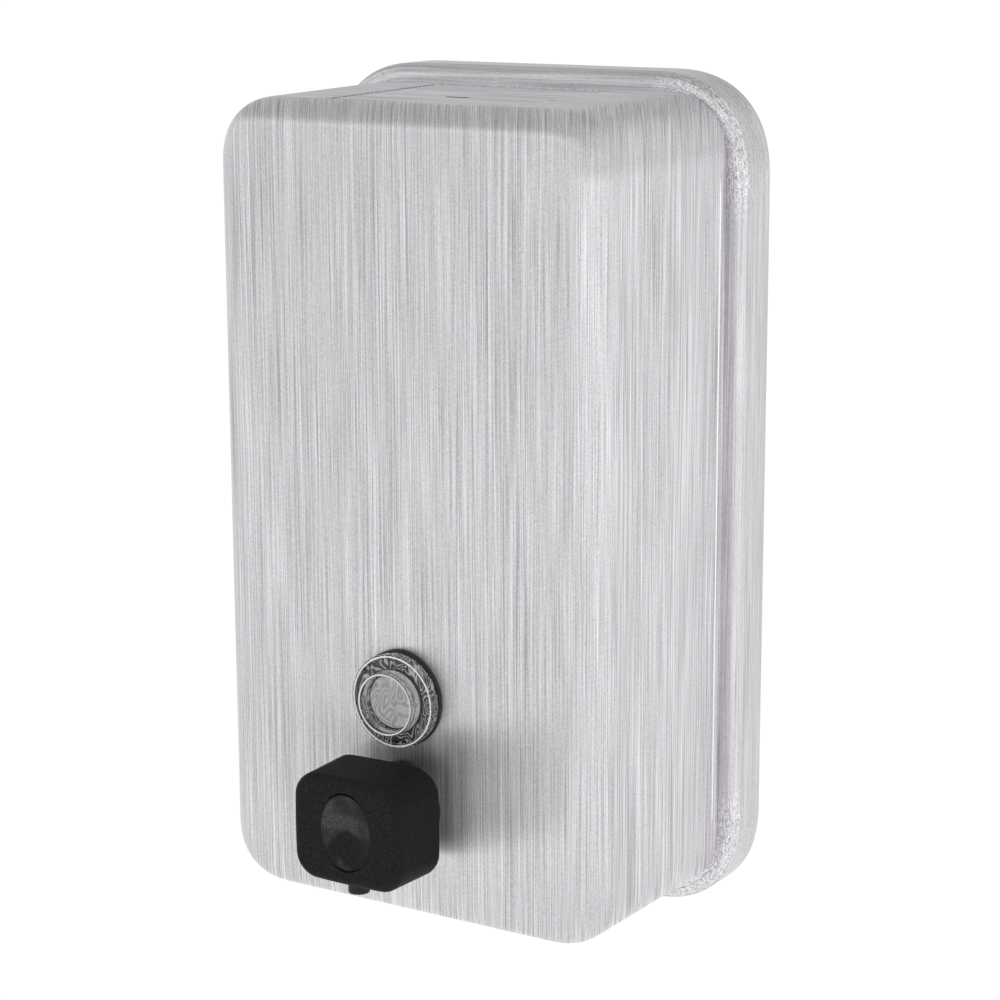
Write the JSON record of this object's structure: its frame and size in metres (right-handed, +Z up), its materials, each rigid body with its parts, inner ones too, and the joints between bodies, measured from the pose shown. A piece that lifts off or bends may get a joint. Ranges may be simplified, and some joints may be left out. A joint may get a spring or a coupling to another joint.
{
  "type": "wall mounted soap dispenser",
  "caption": "Brushed steel wall dispenser with a rounded box container, top filler lid, round sight window and black push button over a spout.",
  "frame": {"origin": "centre of the wall bracket's back face, on the wall plane", "axes": "front faces -Y, +Y into the wall, +X to the right of someone facing the front, +Z up"},
  "size_m": [0.118, 0.0952, 0.206],
  "materials": {
    "brushed_steel_shell": "satin, grain vertical",
    "brushed_steel_pan": "satin, grain along the rim",
    "bracket_steel": "dull mill finish",
    "pin_steel": "polished stainless",
    "spring_steel": "bright stainless wire",
    "clear_acrylic": "clear polished acrylic",
    "black_rubber": "matt black",
    "grey_plastic": "moulded acetal",
    "black_valve_plastic": "moulded",
    "black_button_plastic": "satin moulded"
  },
  "bodies": {
    "container": {"wall_bracket": "bracket_steel", "back_pan": "brushed_steel_pan", "hanger_rail": "bracket_steel", "front_shell": "brushed_steel_shell", "filler_frame": "bracket_steel", "hinge_pin": "pin_steel", "window_lens": "clear_acrylic", "window_gasket": "black_rubber", "window_washer": "grey_plastic", "window_nut": "grey_plastic", "valve_cylinder": "black_valve_plastic", "valve_outer_gasket": "black_rubber", "valve_inner_gasket": "black_rubber", "valve_lock_nut": "black_valve_plastic", "inlet_elbow": "black_valve_plastic", "dip_tube": "grey_plastic"},
    "lid": {"filler_lid": "brushed_steel_shell", "lid_hinge_bracket": "bracket_steel", "latch_guide": "bracket_steel"},
    "latch": {"lock_latch": "bracket_steel"},
    "button": {"push_button": "black_button_plastic", "spout_tube": "black_button_plastic", "outlet_duckbill": "black_rubber", "plunger_rod": "grey_plastic", "piston": "grey_plastic", "u_cup_seal": "black_rubber", "return_spring": "spring_steel"},
    "ball": {"inlet_ball": "pin_steel"}
  },
  "joints": [
    {"name": "button_press", "type": "slide", "parent": "container", "child": "button", "axis": [0, 1, 0], "range_m": [0, 0.007], "stiffness_N_per_m": 600, "springref_m": -0.004, "deforming": ["return_spring"]},
    {"name": "lid_hinge", "type": "hinge", "parent": "container", "child": "lid", "pos_m": [0, -0.0196, 0.0946], "axis": [-1, 0, 0], "range_deg": [0, 95]},
    {"name": "latch_slide", "type": "slide", "parent": "lid", "child": "latch", "axis": [0, -1, 0], "range_m": [0, 0.003]},
    {"name": "ball_lift", "type": "slide", "parent": "container", "child": "ball", "axis": [0, 0, 1], "range_m": [0, 0.002]}
  ]
}
